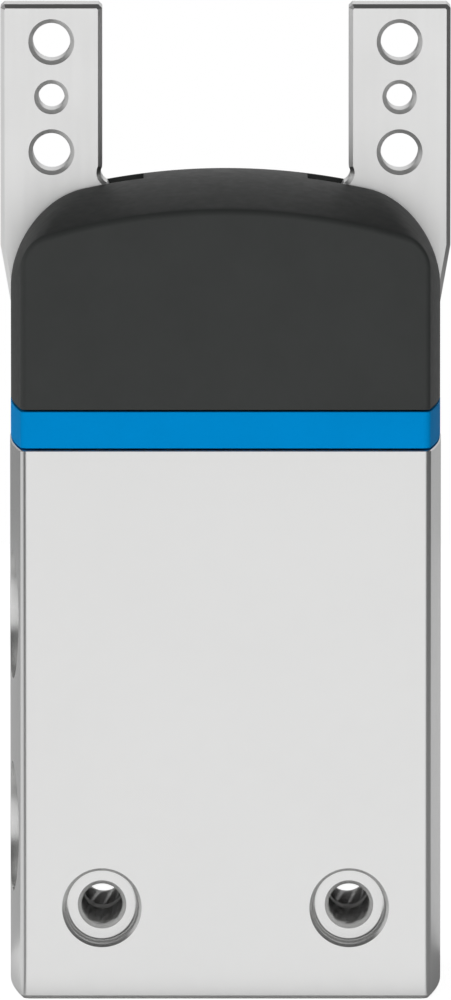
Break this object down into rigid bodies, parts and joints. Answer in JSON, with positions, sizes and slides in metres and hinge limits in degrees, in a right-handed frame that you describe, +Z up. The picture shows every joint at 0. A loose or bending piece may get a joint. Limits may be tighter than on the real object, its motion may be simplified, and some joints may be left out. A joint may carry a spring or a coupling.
{
  "type": "pneumatic gripper",
  "caption": "Radial pneumatic gripper: an air cylinder in an aluminium housing swings flat drilled jaws outwards through slots in a domed cover.",
  "frame": {"origin": "centre of the bottom mounting face", "axes": "+Z up through the housing towards the jaws; -Y out of the front face; +X across to the right-hand jaw seen from the front. The jaws stand upright (closed) at rest."},
  "size_m": [0.0548, 0.04, 0.1198],
  "materials": {
    "anodised_aluminium": "clear anodised, finely blasted satin",
    "ring_plastic": "satin moulded blue plastic",
    "cover_plastic": "fine textured dark grey plastic",
    "jaw_steel": "ground and nickel plated steel",
    "machined_aluminium": "machined",
    "ground_steel": "hardened and ground",
    "black_steel": "black oxide steel",
    "seal_rubber": "moulded nitrile rubber",
    "bronze": "sintered bronze",
    "magnet_black": "plastic-bonded ferrite"
  },
  "bodies": {
    "housing": {"housing": "anodised_aluminium", "accent_ring": "ring_plastic", "cover": "cover_plastic", "guide_block": "machined_aluminium", "bearing_cap": "machined_aluminium", "bearing_cap_seal": "seal_rubber", "rod_bush": "bronze", "rod_seal": "seal_rubber", "retaining_ring": "black_steel", "block_screw_1": "black_steel", "block_screw_2": "black_steel", "block_screw_3": "black_steel", "block_screw_4": "black_steel", "dowel_left": "ground_steel", "dowel_right": "ground_steel", "pivot_pin_left": "ground_steel", "pivot_pin_right": "ground_steel"},
    "piston": {"piston": "machined_aluminium", "piston_seal_lower": "seal_rubber", "piston_seal_upper": "seal_rubber", "piston_magnet": "magnet_black", "piston_rod": "ground_steel", "piston_screw": "black_steel", "driver": "ground_steel", "driver_screw": "black_steel"},
    "jaw_left": {"jaw_left": "jaw_steel", "jaw_bush_left": "bronze", "drive_pin_left": "ground_steel"},
    "jaw_right": {"jaw_right": "jaw_steel", "jaw_bush_right": "bronze", "drive_pin_right": "ground_steel"}
  },
  "joints": [
    {"name": "piston_slide", "type": "slide", "parent": "housing", "child": "piston", "axis": [0, 0, 1], "range_m": [0, 0.01202]},
    {"name": "jaw_left_swing", "type": "hinge", "parent": "housing", "child": "jaw_left", "pos_m": [-0.014, 0, 0.0856], "axis": [0, -1, 0], "range_deg": [0, 90]},
    {"name": "jaw_right_swing", "type": "hinge", "parent": "housing", "child": "jaw_right", "pos_m": [0.014, 0, 0.0856], "axis": [0, 1, 0], "range_deg": [0, 90]}
  ],
  "couplings": [
    {"joint": "jaw_left_swing", "follows": "piston_slide", "rad_per_m": 130.67},
    {"joint": "jaw_right_swing", "follows": "piston_slide", "rad_per_m": 130.67}
  ]
}
